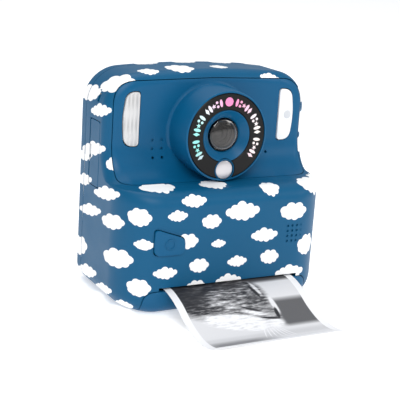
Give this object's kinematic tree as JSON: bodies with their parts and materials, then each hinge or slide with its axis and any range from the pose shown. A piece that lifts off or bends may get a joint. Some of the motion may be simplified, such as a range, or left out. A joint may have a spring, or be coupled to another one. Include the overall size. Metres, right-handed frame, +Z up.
{
  "type": "kids instant print camera",
  "caption": "Kids' instant-print digital camera: rounded blue cloud-pattern casing, round lens barrel, printer bulge with a paper slot and a printed photo hanging out.",
  "frame": {"origin": "centre of the fixed flat base, behind the paper door, on the lens's plane of symmetry", "axes": "+Z up, the lens looks along -Y, +X to the camera's left as seen from behind the lens (the viewer's right)"},
  "size_m": [0.09, 0.095, 0.0902],
  "materials": {
    "casing_blue": "satin moulded ABS printed with white clouds",
    "panel_blue": "satin moulded ABS",
    "key_blue": "satin moulded ABS",
    "black_plastic": "satin black",
    "frosted_plastic": "frosted, ribbed on the flash side",
    "lens_glass": "dark coated glass",
    "mirror_film": "polished",
    "thermal_paper": "smooth matt paper",
    "core_tube": "grey-brown tube",
    "circuit_board": "solder mask",
    "steel": "plain",
    "white_plastic": "natural acetal",
    "rubber": "matt",
    "ceramic": "glazed ceramic plate",
    "battery_wrap": "pouch wrap"
  },
  "bodies": {
    "root": {"front_shell": "casing_blue", "rear_shell": "casing_blue", "front_panel": "panel_blue", "lens_trim_ring": "black_plastic", "selfie_mirror": "mirror_film", "lens_cone": "panel_blue", "lens_glass": "lens_glass", "lens_module": "black_plastic", "sensor_board": "circuit_board", "flash_window": "frosted_plastic", "flash_reflector": "mirror_film", "flash_board": "circuit_board", "signal_window": "frosted_plastic", "signal_lamp": "lens_glass", "shutter_board": "circuit_board", "key_board": "circuit_board", "screen_window": "lens_glass", "screen_panel": "steel", "main_board": "circuit_board", "usb_socket": "steel", "card_socket": "steel", "memory_card": "black_plastic", "battery": "battery_wrap", "speaker": "black_plastic", "microphone": "steel", "strap_pin": "steel", "paper_print": "thermal_paper", "printer_frame": "black_plastic", "print_head": "ceramic", "head_spring_left": "steel", "head_spring_right": "steel", "feed_motor": "steel", "door_hinge_pin": "steel", "case_screw_1": "steel", "case_screw_2": "steel", "case_screw_3": "steel", "case_screw_4": "steel"},
    "door": {"paper_door": "casing_blue"},
    "platen": {"platen_roller": "rubber", "platen_shaft": "steel", "platen_gear": "white_plastic"},
    "roll": {"paper_roll": "thermal_paper", "roll_core": "core_tube"},
    "lower_idler": {"idler_gear_lower": "white_plastic"},
    "upper_idler": {"idler_gear_upper": "white_plastic"},
    "pinion": {"motor_pinion": "white_plastic"},
    "shutter": {"shutter_button": "casing_blue"},
    "up": {"up_key": "key_blue"},
    "down": {"down_key": "key_blue"},
    "left": {"left_key": "key_blue"},
    "right": {"right_key": "key_blue"},
    "ok": {"ok_button": "white_plastic"},
    "menu": {"menu_button": "key_blue"},
    "playback": {"playback_button": "key_blue"},
    "power": {"power_button": "white_plastic"},
    "port_flap": {"port_cover": "rubber"}
  },
  "joints": [
    {"name": "roll_spin", "type": "hinge", "parent": "root", "child": "roll", "pos_m": [0, -0.016, 0.018], "axis": [1, 0, 0], "continuous": true},
    {"name": "door_hinge", "type": "hinge", "parent": "root", "child": "door", "pos_m": [0, -0.0085, 0.0029], "axis": [1, 0, 0], "range_deg": [0, 85]},
    {"name": "platen_spin", "type": "hinge", "parent": "door", "child": "platen", "pos_m": [0, -0.0315, 0.0062], "axis": [1, 0, 0], "continuous": true},
    {"name": "lower_idler_spin", "type": "hinge", "parent": "root", "child": "lower_idler", "pos_m": [0, -0.0266, 0.0149], "axis": [1, 0, 0], "continuous": true},
    {"name": "upper_idler_spin", "type": "hinge", "parent": "root", "child": "upper_idler", "pos_m": [0, -0.0226, 0.0283], "axis": [1, 0, 0], "continuous": true},
    {"name": "pinion_spin", "type": "hinge", "parent": "root", "child": "pinion", "pos_m": [0, -0.0201, 0.0376], "axis": [1, 0, 0], "continuous": true},
    {"name": "shutter_press", "type": "slide", "parent": "root", "child": "shutter", "axis": [0, 1, 0], "range_m": [0, 0.0012], "stiffness_N_per_m": 500, "springref_m": -0.0004},
    {"name": "up_press", "type": "slide", "parent": "root", "child": "up", "axis": [0, -1, 0], "range_m": [0, 0.001], "stiffness_N_per_m": 400, "springref_m": -0.0004},
    {"name": "down_press", "type": "slide", "parent": "root", "child": "down", "axis": [0, -1, 0], "range_m": [0, 0.001], "stiffness_N_per_m": 400, "springref_m": -0.0004},
    {"name": "left_press", "type": "slide", "parent": "root", "child": "left", "axis": [0, -1, 0], "range_m": [0, 0.001], "stiffness_N_per_m": 400, "springref_m": -0.0004},
    {"name": "right_press", "type": "slide", "parent": "root", "child": "right", "axis": [0, -1, 0], "range_m": [0, 0.001], "stiffness_N_per_m": 400, "springref_m": -0.0004},
    {"name": "ok_press", "type": "slide", "parent": "root", "child": "ok", "axis": [0, -1, 0], "range_m": [0, 0.001], "stiffness_N_per_m": 400, "springref_m": -0.0004},
    {"name": "menu_press", "type": "slide", "parent": "root", "child": "menu", "axis": [0, -1, 0], "range_m": [0, 0.001], "stiffness_N_per_m": 400, "springref_m": -0.0004},
    {"name": "playback_press", "type": "slide", "parent": "root", "child": "playback", "axis": [0, -1, 0], "range_m": [0, 0.001], "stiffness_N_per_m": 400, "springref_m": -0.0004},
    {"name": "power_press", "type": "slide", "parent": "root", "child": "power", "axis": [0, -1, 0], "range_m": [0, 0.001], "stiffness_N_per_m": 400, "springref_m": -0.0004},
    {"name": "port_flap_hinge", "type": "hinge", "parent": "root", "child": "port_flap", "pos_m": [-0.045, -0.009, 0.05675], "axis": [0, 0, 1], "range_deg": [0, 100]}
  ],
  "couplings": [
    {"joint": "platen_spin", "follows": "roll_spin", "ratio": -3.4722},
    {"joint": "lower_idler_spin", "follows": "roll_spin", "ratio": 1.4881},
    {"joint": "upper_idler_spin", "follows": "roll_spin", "ratio": -1.4881},
    {"joint": "pinion_spin", "follows": "roll_spin", "ratio": 4.1667}
  ]
}
